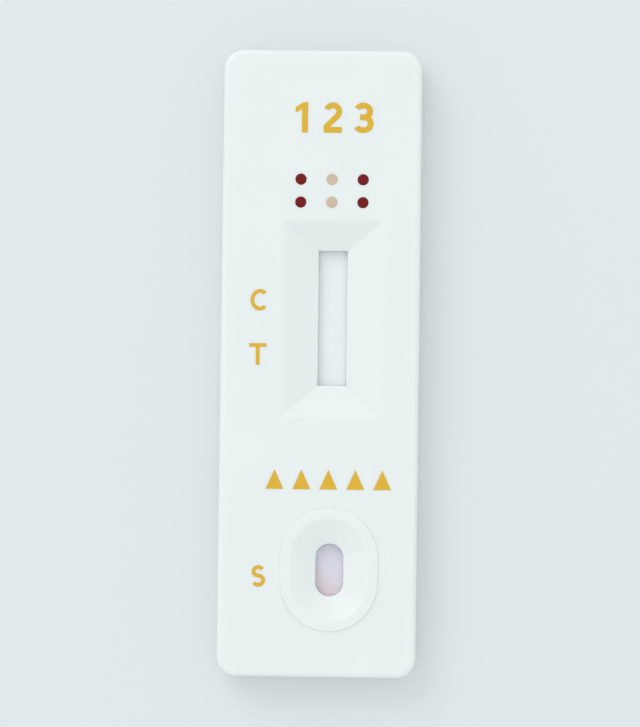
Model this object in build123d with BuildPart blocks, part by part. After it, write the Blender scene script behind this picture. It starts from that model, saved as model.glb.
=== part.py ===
"""Lateral flow cassette: a moulded two-part housing closed round a test strip.

Millimetres, +Z up. The cassette lies on its back with its face up. The origin is the middle of
the underside, +Y runs along the strip from the sample well towards the head end, and +X is to
the right when the head end is at the top.
"""

import os
from math import atan, degrees

from build123d import *

# Test strip
strip_offset = 1.35  # the strip lies to the right of the housing's middle
strip_length = 60.0
strip_width = 4.0
card_thickness = 0.3
membrane_length = 25.0
membrane_thickness = 0.15
conjugate_length = 8.0
conjugate_thickness = 0.4
sample_thickness = 0.5
absorbent_thickness = 0.7
pad_overlap = 2.0
ramp_slope = 2.0  # length over height where a pad climbs its neighbour's edge

# Housing, outside
width = 22.2
end_space = 2.8  # between the strip's nest and the housing's end walls
parting_height = 2.4  # underside to the seam between the two halves
corner_radius = 2.2
draft = 1.5  # degrees, from the seam towards the face and the underside
face_edge_radius = 0.6
base_edge_radius = 0.5
seam_chamfer = 0.12

# Housing, walls
wall = 1.2
face_thickness = 1.0
floor_thickness = 1.0
inner_corner_radius = 1.0
tongue_thickness = 0.5  # rim of the lower half that stands inside the upper half's wall
tongue_height = 0.6
tongue_clearance = 0.05

# Nest that holds the strip in the lower half
seat_height = 0.6  # floor to the underside of the strip
rail_height = 0.5  # above the seat
rail_thickness = 0.8
strip_side_clearance = 0.15
strip_end_clearance = 0.2
rib_count = 10
rib_thickness = 0.8

# Sample well
well_inset = 6.95  # from the strip's sample end to the middle of the well
well_length = 5.85
well_width = 3.1
throat_height = 1.2  # straight wall above the sample pad
throat_radius = 0.2
funnel_width = 8.7
lip_width = 1.1
lip_height = 0.2
lip_radius = 0.15
pad_gap = 0.05  # between a pad and what presses on it

# Reading window
well_to_window = 28.1  # from the middle of the well to the middle of the window
window_length = 15.1
window_width = 3.2
window_edge_break = 0.08
window_gap = 0.15  # between the membrane and the wall round the window
curtain_height = 0.25  # wall that goes down round the window, below the frame
curtain_thickness = 0.8
frame_thickness = 0.75  # plate between the recess and the underside of the frame
recess_length = 21.9
recess_width = 11.1
recess_depth = 1.6
recess_edge_break = 0.15

# Bars under the face that hold the strip down
bar_thickness = 0.8
tail_bar_inset = 6.0  # from the strip's tail

# Press pins of the upper half and their sockets in the lower half
pin_side_inset = 2.5  # from the inside of the side wall to the middle of the pin
pin_end_inset = 3.3  # from the inside of the end wall
pin_recess_inset = 2.6  # from the head end of the recess
pin_diameter = 1.6
pin_clearance = 0.02
pin_tip_gap = 0.3
pin_lead_in = 0.2
socket_diameter = 3.0
socket_height = 1.6  # above the floor

# Heights that follow, from the floor up
seat = floor_thickness + seat_height
card_top = seat + card_thickness
membrane_top = card_top + membrane_thickness
curtain_bottom = membrane_top + window_gap
frame_bottom = curtain_bottom + curtain_height
recess_bottom = frame_bottom + frame_thickness
face_height = recess_bottom + recess_depth
ceiling = face_height - face_thickness
lip_top = face_height + lip_height
throat_bottom = card_top + sample_thickness + pad_gap
throat_top = throat_bottom + throat_height

# Funnel's slope, and the slope of the wall that follows it below the face
funnel_taper = degrees(atan((funnel_width - well_width) / 2 / (lip_top - throat_top)))
throat_width = well_width + 2 * curtain_thickness
throat_taper = degrees(atan((funnel_width - throat_width) / 2 / (ceiling - throat_bottom)))

# Lengths and places that follow
nest_width = strip_width + 2 * strip_side_clearance
nest_length = strip_length + 2 * strip_end_clearance
nest_outer_width = nest_width + 2 * rail_thickness
nest_outer_length = nest_length + 2 * rail_thickness
inner_length = nest_outer_length + 2 * end_space
inner_width = width - 2 * wall
length = inner_length + 2 * wall
strip_start = -strip_length / 2
strip_end = strip_length / 2
funnel_length = well_length + funnel_width - well_width
well_y = strip_start + well_inset
window_y = well_y + well_to_window
membrane_start = window_y - membrane_length / 2
membrane_end = window_y + membrane_length / 2
absorbent_start = membrane_end - pad_overlap
conjugate_end = membrane_start + pad_overlap
conjugate_start = conjugate_end - conjugate_length
sample_end = conjugate_start + pad_overlap
well_head_end = well_y + funnel_length / 2 + lip_width
recess_start = window_y - recess_length / 2
recess_end = window_y + recess_length / 2
pin_x = inner_width / 2 - pin_side_inset
pin_end_y = inner_length / 2 - pin_end_inset
pin_rows = (-pin_end_y, (well_head_end + recess_start) / 2, recess_end + pin_recess_inset, pin_end_y)
pin_places = [(side * pin_x, row) for side in (-1, 1) for row in pin_rows]

fine = 0.001  # how near two places count as one


def centred(height, y=0.0, x=0.0):
    """The horizontal plane at a height, with its origin over a place."""
    return Plane(origin=(x, y, height), x_dir=(1, 0, 0), z_dir=(0, 0, 1))


def housing_outline(step_in=0.0, radius=corner_radius):
    """The housing's outline in plan, or one that lies a step inside it."""
    RectangleRounded(width - 2 * step_in, length - 2 * step_in, radius)


def window_outline(margin=0.0):
    """The window's outline in plan, or one with a margin round it."""
    Rectangle(window_width + 2 * margin, window_length + 2 * margin)


def tapered_block(top, bottom, bottom_margin, mode=Mode.ADD):
    """A block with sloping sides, from the recess's outline at the top to the window's at the bottom."""
    narrow = window_width + 2 * bottom_margin
    short = window_length + 2 * bottom_margin
    side_step, end_step = (recess_width - narrow) / 2, (recess_length - short) / 2
    with Locations((strip_offset, window_y, top)):
        Wedge(
            recess_width,
            top - bottom,
            recess_length,
            side_step,
            end_step,
            side_step + narrow,
            end_step + short,
            rotation=(-90, 0, 0),
            align=(Align.CENTER, Align.MIN, Align.CENTER),
            mode=mode,
        )


def well_outline(margin=0.0):
    """The sample well's oval in plan, or one with a margin round it."""
    SlotOverall(well_length + 2 * margin, well_width + 2 * margin, rotation=90)


def strip_edges(builder, height, y, reach_x, reach_y):
    """The edges at a height that lie round a place on the strip's middle line."""
    found = builder.edges().filter_by_position(Axis.Z, height - fine, height + fine)
    found = found.filter_by_position(
        Axis.X, strip_offset - reach_x / 2 - fine, strip_offset + reach_x / 2 + fine
    )
    return found.filter_by_position(Axis.Y, y - reach_y / 2 - fine, y + reach_y / 2 + fine)


def lapped_profile(far_end, lap_edge, near_end, rise, thickness):
    """A pad's side view, in Y and Z: flat on the card, then up over its neighbour's edge."""
    towards = 1 if lap_edge > far_end else -1
    foot = lap_edge - towards * rise * ramp_slope
    low, high = card_top, card_top + rise
    underside = [(far_end, low), (foot, low), (lap_edge, high), (near_end, high)]
    return underside + [(y, z + thickness) for y, z in reversed(underside)]


# Strip, from the card up
with BuildPart() as backing_card:
    with BuildSketch(centred(seat, x=strip_offset)):
        Rectangle(strip_width, strip_length)
    extrude(amount=card_thickness)
backing_card.part.label = "backing_card"

with BuildPart() as membrane:
    with BuildSketch(centred(card_top, window_y, strip_offset)):
        Rectangle(strip_width, membrane_length)
    extrude(amount=membrane_thickness)
membrane.part.label = "membrane"

with BuildPart() as conjugate_pad:
    with BuildSketch(Plane.YZ.offset(strip_offset)):
        with BuildLine():
            side = lapped_profile(
                conjugate_start, membrane_start, conjugate_end, membrane_thickness, conjugate_thickness
            )
            Polyline(side, close=True)
        make_face()
    extrude(amount=strip_width / 2, both=True)
conjugate_pad.part.label = "conjugate_pad"

with BuildPart() as sample_pad:
    with BuildSketch(Plane.YZ.offset(strip_offset)):
        with BuildLine():
            side = lapped_profile(
                strip_start, conjugate_start, sample_end, conjugate_thickness, sample_thickness
            )
            Polyline(side, close=True)
        make_face()
    extrude(amount=strip_width / 2, both=True)
sample_pad.part.label = "sample_pad"

with BuildPart() as absorbent_pad:
    with BuildSketch(Plane.YZ.offset(strip_offset)):
        with BuildLine():
            side = lapped_profile(
                strip_end, membrane_end, absorbent_start, membrane_thickness, absorbent_thickness
            )
            Polyline(side, close=True)
        make_face()
    extrude(amount=strip_width / 2, both=True)
absorbent_pad.part.label = "absorbent_pad"

# Lower half: tray, tongue, strip nest and pin sockets
with BuildPart() as bottom_housing:
    with BuildSketch(centred(parting_height)):
        housing_outline()
    extrude(amount=-parting_height, taper=draft)
    fillet(bottom_housing.edges().group_by(Axis.Z)[0], base_edge_radius)
    chamfer(bottom_housing.edges().group_by(Axis.Z)[-1], seam_chamfer)
    with BuildSketch(centred(parting_height)):
        housing_outline(wall - tongue_thickness, inner_corner_radius + tongue_thickness)
    extrude(amount=tongue_height)
    with BuildSketch(centred(floor_thickness)):
        housing_outline(wall, inner_corner_radius)
    extrude(amount=parting_height + tongue_height - floor_thickness, mode=Mode.SUBTRACT)
    with BuildSketch(centred(floor_thickness, x=strip_offset)):
        Rectangle(nest_outer_width, nest_outer_length)
        Rectangle(nest_width, nest_length, mode=Mode.SUBTRACT)
    extrude(amount=seat_height + rail_height)
    with BuildSketch(centred(floor_thickness, x=strip_offset)):
        with GridLocations(0, strip_length / rib_count, 1, rib_count):
            Rectangle(nest_width, rib_thickness)
    extrude(amount=seat_height)
    with BuildSketch(centred(floor_thickness)):
        with Locations(pin_places):
            Circle(socket_diameter / 2)
            Circle(pin_diameter / 2 + pin_clearance, mode=Mode.SUBTRACT)
    extrude(amount=socket_height)
bottom_housing.part.label = "bottom_housing"

# Upper half: face with its window and well, and what hangs from the face inside
bars = (
    (sample_end - pad_overlap / 2, card_top + conjugate_thickness + sample_thickness),
    (conjugate_end - pad_overlap / 2, membrane_top + conjugate_thickness),
    (absorbent_start + pad_overlap / 2, membrane_top + absorbent_thickness),
    (strip_end - tail_bar_inset, card_top + absorbent_thickness),
)
with BuildPart() as top_housing:
    with BuildSketch(centred(parting_height)):
        housing_outline()
    extrude(amount=face_height - parting_height, taper=draft)
    fillet(top_housing.edges().group_by(Axis.Z)[-1], face_edge_radius)
    chamfer(top_housing.edges().group_by(Axis.Z)[0], seam_chamfer)
    with BuildSketch(centred(parting_height)):
        housing_outline(wall, inner_corner_radius)
    extrude(amount=ceiling - parting_height, mode=Mode.SUBTRACT)
    with BuildSketch(centred(parting_height)):
        rabbet = tongue_thickness + tongue_clearance
        housing_outline(wall - rabbet, inner_corner_radius + rabbet)
    extrude(amount=tongue_height + tongue_clearance, mode=Mode.SUBTRACT)

    # Below the face: the window's frame, the well's throat, and bars that hold the strip down
    with BuildSketch(centred(curtain_bottom, window_y, strip_offset)):
        window_outline(curtain_thickness)
    extrude(amount=curtain_height)
    tapered_block(ceiling, frame_bottom, curtain_thickness)
    with BuildSketch(centred(throat_bottom, well_y, strip_offset)):
        well_outline(curtain_thickness)
    extrude(amount=ceiling - throat_bottom, taper=-throat_taper)
    for bar_y, pad_top in bars:
        with BuildSketch(centred(ceiling, bar_y, strip_offset)):
            Rectangle(nest_outer_width, bar_thickness)
        extrude(amount=pad_top + pad_gap - ceiling)

    # Press pins that go down into the sockets
    with BuildSketch(centred(ceiling)):
        with Locations(pin_places):
            Circle(pin_diameter / 2)
    extrude(amount=floor_thickness + pin_tip_gap - ceiling)
    chamfer(top_housing.edges().group_by(Axis.Z)[0], pin_lead_in)

    # Lip that stands round the well
    with BuildSketch(centred(face_height, well_y, strip_offset)):
        well_outline((funnel_width - well_width) / 2 + lip_width)
    extrude(amount=lip_height)
    fillet(top_housing.edges().group_by(Axis.Z)[-1], min(lip_radius, lip_height))

    # Openings in the face: the bevelled window, and the funnel and throat of the well
    tapered_block(face_height, recess_bottom, 0, Mode.SUBTRACT)
    with BuildSketch(centred(curtain_bottom, window_y, strip_offset)):
        window_outline()
    extrude(amount=recess_bottom - curtain_bottom, mode=Mode.SUBTRACT)
    with BuildSketch(centred(throat_top, well_y, strip_offset)):
        well_outline()
    extrude(amount=lip_top - throat_top, taper=-funnel_taper, mode=Mode.SUBTRACT)
    with BuildSketch(centred(throat_bottom, well_y, strip_offset)):
        well_outline()
    extrude(amount=throat_height, mode=Mode.SUBTRACT)

    # Rims of both openings, eased at the face and where each turns down
    rim = strip_edges(top_housing, face_height, window_y, recess_width, recess_length)
    chamfer(rim, recess_edge_break)
    rim = strip_edges(top_housing, recess_bottom, window_y, window_width, window_length)
    chamfer(rim, window_edge_break)
    rim = strip_edges(top_housing, lip_top, well_y, funnel_width, funnel_length)
    fillet(rim, lip_radius)
    rim = strip_edges(top_housing, throat_top, well_y, well_width, well_length)
    fillet(rim, throat_radius)
top_housing.part.label = "top_housing"

os.makedirs("parts", exist_ok=True)
export_step(bottom_housing.part, "parts/bottom_housing.step")
export_step(backing_card.part, "parts/backing_card.step")
export_step(membrane.part, "parts/membrane.step")
export_step(conjugate_pad.part, "parts/conjugate_pad.step")
export_step(sample_pad.part, "parts/sample_pad.step")
export_step(absorbent_pad.part, "parts/absorbent_pad.step")
export_step(top_housing.part, "parts/top_housing.step")
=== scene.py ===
"""Looks of the lateral flow cassette: finishes, prints, strip layers, floor, light and camera."""

import math

import bmesh
import bpy
from mathutils import Matrix, Vector, noise


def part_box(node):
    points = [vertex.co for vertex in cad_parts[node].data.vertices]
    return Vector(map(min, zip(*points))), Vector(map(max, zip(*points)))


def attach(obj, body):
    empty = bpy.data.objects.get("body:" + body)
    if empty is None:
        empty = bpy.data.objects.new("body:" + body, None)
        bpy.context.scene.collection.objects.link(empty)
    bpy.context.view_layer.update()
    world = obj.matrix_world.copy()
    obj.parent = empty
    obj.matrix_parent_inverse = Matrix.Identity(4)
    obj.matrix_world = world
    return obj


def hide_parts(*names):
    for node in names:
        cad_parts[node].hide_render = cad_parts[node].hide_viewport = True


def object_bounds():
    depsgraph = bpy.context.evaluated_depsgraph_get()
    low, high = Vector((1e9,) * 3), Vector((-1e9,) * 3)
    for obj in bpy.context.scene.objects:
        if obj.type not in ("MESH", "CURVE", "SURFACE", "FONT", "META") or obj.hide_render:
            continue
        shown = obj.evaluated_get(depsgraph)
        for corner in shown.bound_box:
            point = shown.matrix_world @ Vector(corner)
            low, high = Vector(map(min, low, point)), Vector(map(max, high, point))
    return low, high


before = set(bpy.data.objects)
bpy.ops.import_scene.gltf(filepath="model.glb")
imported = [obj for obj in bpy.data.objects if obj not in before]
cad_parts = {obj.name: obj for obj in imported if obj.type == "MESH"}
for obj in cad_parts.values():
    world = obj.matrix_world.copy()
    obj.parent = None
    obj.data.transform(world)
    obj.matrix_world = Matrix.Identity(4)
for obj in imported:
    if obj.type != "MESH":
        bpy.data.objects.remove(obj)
cad_low, cad_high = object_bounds()

MM = 0.001
BODY = "root"

# Places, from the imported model
WELL_INSET = 6.95 * MM  # from the strip's sample end to the middle of the well
membrane_low, membrane_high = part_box("membrane")
strip_x = (membrane_low.x + membrane_high.x) / 2
window_y = (membrane_low.y + membrane_high.y) / 2
well_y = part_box("sample_pad")[0].y + WELL_INSET
left_side, head_end = cad_low.x, cad_high.y

# Prints, in metres: where they lie and how large they are
INK_DEPTH = 0.012 * MM  # the film's top, above the face
INK_SINK = 0.004 * MM  # its underside, below the face
PRINT_X = left_side + 12.25 * MM
DOT_RADIUS = 0.63 * MM
DOT_SIDES = 40
DOT_PITCH_X = 3.47 * MM
DOT_ROWS = (head_end - 14.52 * MM, head_end - 17.08 * MM)
MARK_X = left_side + 4.2 * MM
MARK_HEIGHT = 2.4 * MM
CONTROL_Y = window_y + 1.9 * MM
TEST_Y = window_y - 4.15 * MM
SAMPLE_X = MARK_X + 0.4 * MM
SAMPLE_Y = well_y - 0.75 * MM
NUMBER_Y = head_end - 7.6 * MM
NUMBER_HEIGHT = 3.4 * MM
ARROW_Y = (window_y + well_y) / 2 - 4.0 * MM
ARROW_COUNT = 5
ARROW_PITCH = 3.0 * MM
ARROW_WIDTH = 2.0 * MM
ARROW_HEIGHT = 2.2 * MM

# Colours, linear
HOUSING_WHITE = (0.824, 0.880, 0.872)
FIBRE_WHITE = (0.862, 0.905, 0.905)
PAD_LAVENDER = (0.785, 0.760, 0.852)
PAD_PINK = (0.815, 0.685, 0.740)
CONJUGATE_ROSE = (0.500, 0.160, 0.220)
CARD_WHITE = (0.860, 0.860, 0.850)
GOLD = (0.735, 0.450, 0.040)
MAROON = (0.175, 0.010, 0.011)
TAN = (0.622, 0.497, 0.368)
FLOOR_GREY = (0.765, 0.806, 0.815)
SKY_WHITE = (0.98, 0.995, 1, 1)

# Finishes
MILKY_DEPTH = 0.7 * MM  # how far light gets into a milky surface
GLOSS_WANDER = 0.06  # how far the roughness wanders either way
LUMP = 2.2  # size of the lumps in a fibre layer, in cells
MIX_A, MIX_B, MIX_RESULT = 6, 7, 2  # colour sockets of a Mix node, whose names its other sockets share

# Modelling
WELD_DISTANCE = 0.001 * MM
CUT_TOLERANCE = 1e-9
FAR_ABOVE = 0.1  # a height to look down on the object from
FLOOR_GAP = 0.01 * MM
FLOOR_REACH = 1.5


def surface(name, tone, roughness, grain, relief, patch=6 * MM, wander=0.03, shine=0.5, milky=0):
    """A material whose tone and roughness wander a little in patches, over a fine raised grain.

    A milky one lets light a little way in, as thin white plastic does.
    """
    material = bpy.data.materials.new(name)
    material.use_nodes = True
    nodes, links = material.node_tree.nodes, material.node_tree.links
    shader = nodes["Principled BSDF"]
    shader.inputs["Specular IOR Level"].default_value = shine
    shader.inputs["Subsurface Weight"].default_value = milky
    shader.inputs["Subsurface Radius"].default_value = (1, 1, 1)
    shader.inputs["Subsurface Scale"].default_value = MILKY_DEPTH
    place = nodes.new("ShaderNodeTexCoord").outputs["Object"]

    patches = nodes.new("ShaderNodeTexNoise")
    patches.inputs["Scale"].default_value = 1 / patch
    patches.inputs["Detail"].default_value = 3
    links.new(place, patches.inputs["Vector"])
    tones = nodes.new("ShaderNodeMix")
    tones.data_type = "RGBA"
    tones.inputs[MIX_A].default_value = [c * (1 - wander) for c in tone] + [1]
    tones.inputs[MIX_B].default_value = [min(c * (1 + wander), 1) for c in tone] + [1]
    links.new(patches.outputs["Fac"], tones.inputs["Factor"])
    links.new(tones.outputs[MIX_RESULT], shader.inputs["Base Color"])
    gloss = nodes.new("ShaderNodeMapRange")
    gloss.inputs["To Min"].default_value = roughness - GLOSS_WANDER
    gloss.inputs["To Max"].default_value = roughness + GLOSS_WANDER
    links.new(patches.outputs["Fac"], gloss.inputs["Value"])
    links.new(gloss.outputs["Result"], shader.inputs["Roughness"])

    grains = nodes.new("ShaderNodeTexNoise")
    grains.inputs["Scale"].default_value = 1 / grain
    grains.inputs["Detail"].default_value = 4
    links.new(place, grains.inputs["Vector"])
    raised = nodes.new("ShaderNodeBump")
    raised.inputs["Distance"].default_value = relief
    links.new(grains.outputs["Fac"], raised.inputs["Height"])
    links.new(raised.outputs["Normal"], shader.inputs["Normal"])
    return material


def tint_across(material, start, end, start_tone, end_tone):
    """Turns a material's tone from one colour at a place to another at a second place."""
    nodes, links = material.node_tree.nodes, material.node_tree.links
    along = end - start
    offset = nodes.new("ShaderNodeVectorMath")
    offset.operation = "SUBTRACT"
    offset.inputs[1].default_value = start
    links.new(nodes.new("ShaderNodeTexCoord").outputs["Object"], offset.inputs[0])
    share = nodes.new("ShaderNodeVectorMath")
    share.operation = "DOT_PRODUCT"
    share.inputs[1].default_value = along / along.length_squared
    links.new(offset.outputs["Vector"], share.inputs[0])
    tones = next(n for n in nodes if n.type == "MIX")
    for socket in (MIX_A, MIX_B):
        tone = tones.inputs[socket].default_value
        gain = tone[1] / start_tone[1]  # how much lighter or darker this patch is
        blend = nodes.new("ShaderNodeMix")
        blend.data_type = "RGBA"
        blend.inputs[MIX_A].default_value = [c * gain for c in start_tone] + [1]
        blend.inputs[MIX_B].default_value = [c * gain for c in end_tone] + [1]
        links.new(share.outputs["Value"], blend.inputs["Factor"])
        links.new(blend.outputs[MIX_RESULT], tones.inputs[socket])


housing = surface(
    "housing_polystyrene", HOUSING_WHITE,
    roughness=0.34, grain=0.11 * MM, relief=0.004 * MM, wander=0.012, milky=0.3,
)
card = surface("card_gloss_plastic", CARD_WHITE, roughness=0.3, grain=0.4 * MM, relief=0.002 * MM)
membrane = surface(
    "membrane_porous", FIBRE_WHITE,
    roughness=0.75, grain=0.09 * MM, relief=0.02 * MM, patch=1.5 * MM, shine=0.25,
)
pad = surface(
    "pad_felt", PAD_PINK,
    roughness=0.9, grain=0.22 * MM, relief=0.11 * MM, patch=0.4 * MM, wander=0.08, shine=0.2,
)
rose = surface(
    "conjugate_felt", CONJUGATE_ROSE,
    roughness=0.9, grain=0.16 * MM, relief=0.06 * MM, patch=0.9 * MM, shine=0.2,
)
ink = {"roughness": 0.5, "grain": 0.2 * MM, "relief": 0.003 * MM}
gold = surface("ink_gold", GOLD, **ink, patch=1.2 * MM, wander=0.06, shine=0.2)
maroon = surface("ink_maroon", MAROON, **ink, patch=0.8 * MM, wander=0.1, shine=0.12)
tan = surface("ink_tan", TAN, **ink, patch=0.8 * MM, wander=0.06, shine=0.2)

# The sample pad turns from pink at its lower left to lavender towards its upper right. This is partly the
# pad's own pinkish lower end and partly painted shade on its left side, where the well wall's shadow
# falls
pink_shaded_end = Vector((strip_x - 0.9 * MM, well_y - 2.2 * MM, 0))
lavender_side = Vector((strip_x + 0.3 * MM, well_y - 0.4 * MM, 0))
tint_across(pad, pink_shaded_end, lavender_side, PAD_PINK, PAD_LAVENDER)


def finish_node(node, material):
    """Gives a CAD node its material."""
    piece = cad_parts[node]
    piece.data.materials.clear()
    piece.data.materials.append(material)


def add_piece(name, mesh, material):
    """Puts a new mesh in the scene as a piece that rides on the object."""
    piece = bpy.data.objects.new(name, mesh)
    bpy.context.scene.collection.objects.link(piece)
    mesh.materials.clear()
    mesh.materials.append(material)
    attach(piece, BODY)
    return piece


# Strip layers: felted mats and a porous sheet in place of the plain solids
def fibre_layer(node, name, material, cell, relief):
    """A strip layer cut into small cells, whose upper side is uneven like a pressed mat."""
    source = bmesh.new()
    source.from_mesh(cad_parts[node].data)
    bmesh.ops.remove_doubles(source, verts=source.verts, dist=WELD_DISTANCE)
    low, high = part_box(node)
    for axis in (0, 1):
        normal = Vector((axis == 0, axis == 1, 0))
        steps = max(2, round((high[axis] - low[axis]) / cell))
        for step in range(1, steps):
            at = low.lerp(high, step / steps)
            every = source.verts[:] + source.edges[:] + source.faces[:]
            bmesh.ops.bisect_plane(source, geom=every, plane_co=at, plane_no=normal, dist=CUT_TOLERANCE)
    bmesh.ops.triangulate(source, faces=[f for f in source.faces if len(f.verts) > 4])
    source.normal_update()
    for vert in source.verts:
        if vert.normal.z > 0.5:
            dip = noise.noise(vert.co / (LUMP * cell)) * 0.5 + 0.5
            vert.co.z -= relief * dip
    mesh = bpy.data.meshes.new(name)
    source.to_mesh(mesh)
    source.free()
    piece = add_piece(name, mesh, material)
    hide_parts(node)


# Prints: thin films of ink on the face
def face_height(x, y):
    """The height of the housing's top surface above a place."""
    above, down = Vector((x, y, FAR_ABOVE)), Vector((0, 0, -1))
    hit, where, _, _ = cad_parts["top_housing"].ray_cast(above, down)
    if not hit:
        raise ValueError(f"nothing under {x}, {y}")
    return where.z


def ink_film(name, outlines, material):
    """Closed flat outlines, made into a thin film of ink that lies on the face."""
    points = [Vector(point) for outline in outlines for point in outline]
    middle = sum(points, Vector((0, 0))) / len(points)
    level = face_height(middle.x, middle.y)
    shape = bmesh.new()
    for outline in outlines:
        under = [shape.verts.new((x, y, level - INK_SINK)) for x, y in outline]
        upper = [shape.verts.new((x, y, level + INK_DEPTH)) for x, y in outline]
        shape.faces.new(under)
        shape.faces.new(upper)
        for index in range(len(outline)):
            shape.faces.new((under[index - 1], under[index], upper[index], upper[index - 1]))
    shape.normal_update()
    bmesh.ops.triangulate(shape, faces=[f for f in shape.faces if len(f.verts) > 4])
    bmesh.ops.recalc_face_normals(shape, faces=shape.faces)
    mesh = bpy.data.meshes.new(name)
    shape.to_mesh(mesh)
    shape.free()
    add_piece(name, mesh, material)


def arc(centre, radii, start, end, steps=24):
    """Points along part of an ellipse, between two angles in degrees."""
    angles = [math.radians(start + (end - start) * step / steps) for step in range(steps + 1)]
    return [(centre[0] + radii[0] * math.cos(a), centre[1] + radii[1] * math.sin(a)) for a in angles]


def band(line, thickness):
    """The outline of a stroke of even thickness along a line."""
    left, right = [], []
    for index, (x, y) in enumerate(line):
        before, after = line[max(index - 1, 0)], line[min(index + 1, len(line) - 1)]
        along = Vector((after[0] - before[0], after[1] - before[1])).normalized()
        left.append((x - along.y * thickness / 2, y + along.x * thickness / 2))
        right.append((x + along.y * thickness / 2, y - along.x * thickness / 2))
    return left + right[::-1]


# Plain sans-serif marks, as outlines one unit high
STROKE = 0.18
S_LINE = arc((0.31, 0.71), (0.215, 0.2), 30, 270) + arc((0.31, 0.3), (0.235, 0.21), 90, -148)[1:]
GLYPHS = {
    "C": band(arc((0.44, 0.5), (0.355, 0.41), 48, 312), STROKE),
    "S": band(S_LINE, STROKE),
    "T": [(0, 1), (0, 0.83), (0.31, 0.83), (0.31, 0), (0.49, 0), (0.49, 0.83), (0.8, 0.83), (0.8, 1)],
    "1": [(0.26, 1), (0, 0.84), (0, 0.65), (0.21, 0.77), (0.21, 0), (0.41, 0), (0.41, 1)],
    "2": arc((0.3, 0.7), (0.3, 0.3), 160, -45)
    + [(0.21, 0.19), (0.6, 0.19), (0.6, 0), (0, 0), (0, 0.244)]
    + arc((0.3, 0.7), (0.11, 0.11), -45, 160),
    "3": arc((0.26, 0.7125), (0.32, 0.2875), 152, -40.6)
    + arc((0.26, 0.3075), (0.345, 0.3075), 45.2, -150)
    + arc((0.26, 0.3075), (0.155, 0.1175), -150, 90)
    + [(0.15, 0.425), (0.15, 0.615)]
    + arc((0.26, 0.7125), (0.13, 0.0975), -90, 152),
}


def mark(name, glyph, x, y, height):
    """One gold capital or number, centred on a place."""
    points = GLYPHS[glyph]
    middle = (min(p[0] for p in points) + max(p[0] for p in points)) / 2
    outline = [(x + (px - middle) * height, y + (py - 0.5) * height) for px, py in points]
    ink_film(name, [outline], gold)


def dots(name, columns, material):
    """Round dots, one in each row of each column."""
    radii = (DOT_RADIUS, DOT_RADIUS)
    last_corner = 360 - 360 / DOT_SIDES
    places = [(PRINT_X + column * DOT_PITCH_X, row) for column in columns for row in DOT_ROWS]
    ink_film(name, [arc(place, radii, 0, last_corner, DOT_SIDES - 1) for place in places], material)


def arrows(name):
    """A row of plain solid arrowheads that point along the flow."""
    corners = ((-0.5, -0.5), (0.5, -0.5), (0, 0.5))
    outlines = []
    for index in range(ARROW_COUNT):
        x = PRINT_X + (index - (ARROW_COUNT - 1) / 2) * ARROW_PITCH
        outlines.append([(x + a * ARROW_WIDTH, ARROW_Y + b * ARROW_HEIGHT) for a, b in corners])
    ink_film(name, outlines, gold)


for node in ("top_housing", "bottom_housing"):
    finish_node(node, housing)
finish_node("backing_card", card)

fibre_layer("membrane", "membrane_sheet", membrane, cell=0.25 * MM, relief=0.012 * MM)
fibre_layer("conjugate_pad", "conjugate_mat", rose, cell=0.25 * MM, relief=0.04 * MM)
fibre_layer("sample_pad", "sample_mat", pad, cell=0.2 * MM, relief=0.08 * MM)
fibre_layer("absorbent_pad", "absorbent_mat", pad, cell=0.25 * MM, relief=0.08 * MM)

dots("dots_maroon", (-1, 1), maroon)
dots("dots_tan", (0,), tan)
mark("mark_control", "C", MARK_X, CONTROL_Y, MARK_HEIGHT)
mark("mark_test", "T", MARK_X, TEST_Y, MARK_HEIGHT)
mark("mark_sample", "S", SAMPLE_X, SAMPLE_Y, MARK_HEIGHT)
for column, number in ((-1, "1"), (0, "2"), (1, "3")):
    mark("column_" + number, number, PRINT_X + column * DOT_PITCH_X, NUMBER_Y, NUMBER_HEIGHT)
arrows("flow_arrows")


# Floor, light and camera
def add_floor():
    """A wide plain floor just below the object."""
    mesh = bpy.data.meshes.new("floor")
    level = cad_low.z - FLOOR_GAP
    corners = [(x * FLOOR_REACH, y * FLOOR_REACH, level) for x, y in ((-1, -1), (1, -1), (1, 1), (-1, 1))]
    mesh.from_pydata(corners, [], [(0, 1, 2, 3)])
    floor = bpy.data.objects.new("floor", mesh)
    bpy.context.scene.collection.objects.link(floor)
    paper = surface(
        "floor_paper", FLOOR_GREY,
        roughness=0.85, grain=0.3 * MM, relief=0.002 * MM, patch=80 * MM, wander=0.004, shine=0.2,
    )
    mesh.materials.append(paper)


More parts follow.
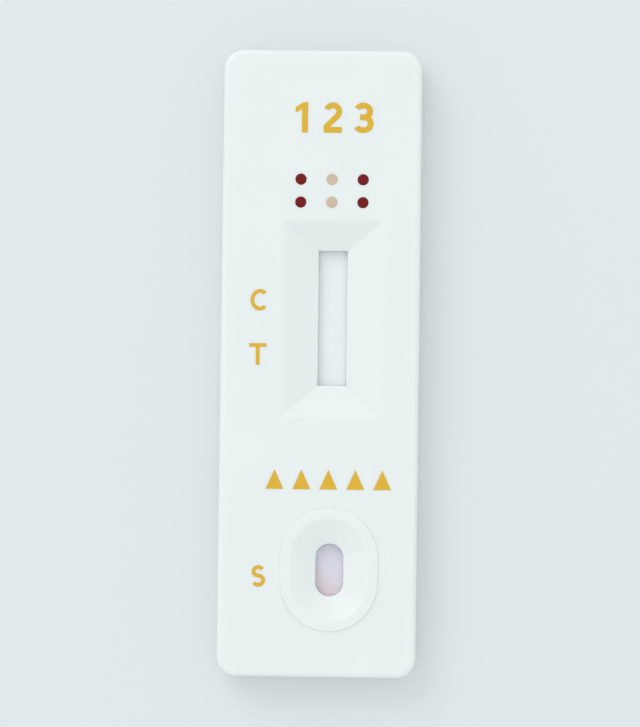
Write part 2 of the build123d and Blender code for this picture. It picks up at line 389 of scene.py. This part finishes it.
def add_world(level):
    """Even white light from all round, and plain white behind the object."""
    world = bpy.data.worlds.new("studio")
    world.use_nodes = True
    nodes, links = world.node_tree.nodes, world.node_tree.links
    sky = nodes["Background"]
    sky.inputs["Color"].default_value = SKY_WHITE
    sky.inputs["Strength"].default_value = level
    behind = nodes.new("ShaderNodeBackground")
    path = nodes.new("ShaderNodeLightPath")
    seen = path.outputs["Is Camera Ray"]
    for ray in ("Is Glossy Ray", "Is Transmission Ray"):
        either = nodes.new("ShaderNodeMath")
        either.operation = "MAXIMUM"
        links.new(seen, either.inputs[0])
        links.new(path.outputs[ray], either.inputs[1])
        seen = either.outputs["Value"]
    pick = nodes.new("ShaderNodeMixShader")
    links.new(seen, pick.inputs["Fac"])
    links.new(sky.outputs["Background"], pick.inputs[1])
    links.new(behind.outputs["Background"], pick.inputs[2])
    links.new(pick.outputs["Shader"], nodes["World Output"].inputs["Surface"])
    bpy.context.scene.world = world


def add_key(direction, distance, size, power):
    """A soft square lamp that looks at the object from a direction."""
    lamp = bpy.data.lights.new("key", "AREA")
    lamp.size, lamp.energy = size, power
    key = bpy.data.objects.new("key", lamp)
    key.location = Vector(direction).normalized() * distance
    key.rotation_mode = "QUATERNION"
    key.rotation_quaternion = key.location.to_track_quat("Z", "Y")
    bpy.context.scene.collection.objects.link(key)


def add_camera(elevation, sideways, roll, lens, share):
    """A long lens almost straight above, turned so that the object leans a little."""
    lean = math.radians(90 - elevation)
    aside = math.radians(sideways)
    back = Vector((math.tan(aside), -math.tan(lean), 1)).normalized()
    up = Matrix.Rotation(math.radians(roll), 3, "Z") @ Vector((0, 1, 0))
    right = up.cross(back).normalized()
    up = back.cross(right)
    data = bpy.data.cameras.new("camera")
    data.lens = lens
    length = cad_high.y - cad_low.y
    distance = length / share / 2 / (data.sensor_width / 2 / lens)
    camera = bpy.data.objects.new("camera", data)
    centre = (cad_low + cad_high) / 2
    turn = Matrix((right, up, back)).transposed().to_4x4()
    camera.matrix_world = Matrix.Translation(centre + back * distance) @ turn
    data.clip_start, data.clip_end = 0.01, 10
    bpy.context.scene.collection.objects.link(camera)
    bpy.context.scene.camera = camera


add_floor()
add_world(level=0.915)
add_key(direction=(-0.7, 0.95, 1), distance=1.5, size=1.0, power=4.1)
add_camera(elevation=88, sideways=1.5, roll=0.73, lens=200, share=0.86)
bpy.context.scene.view_settings.view_transform = "Standard"
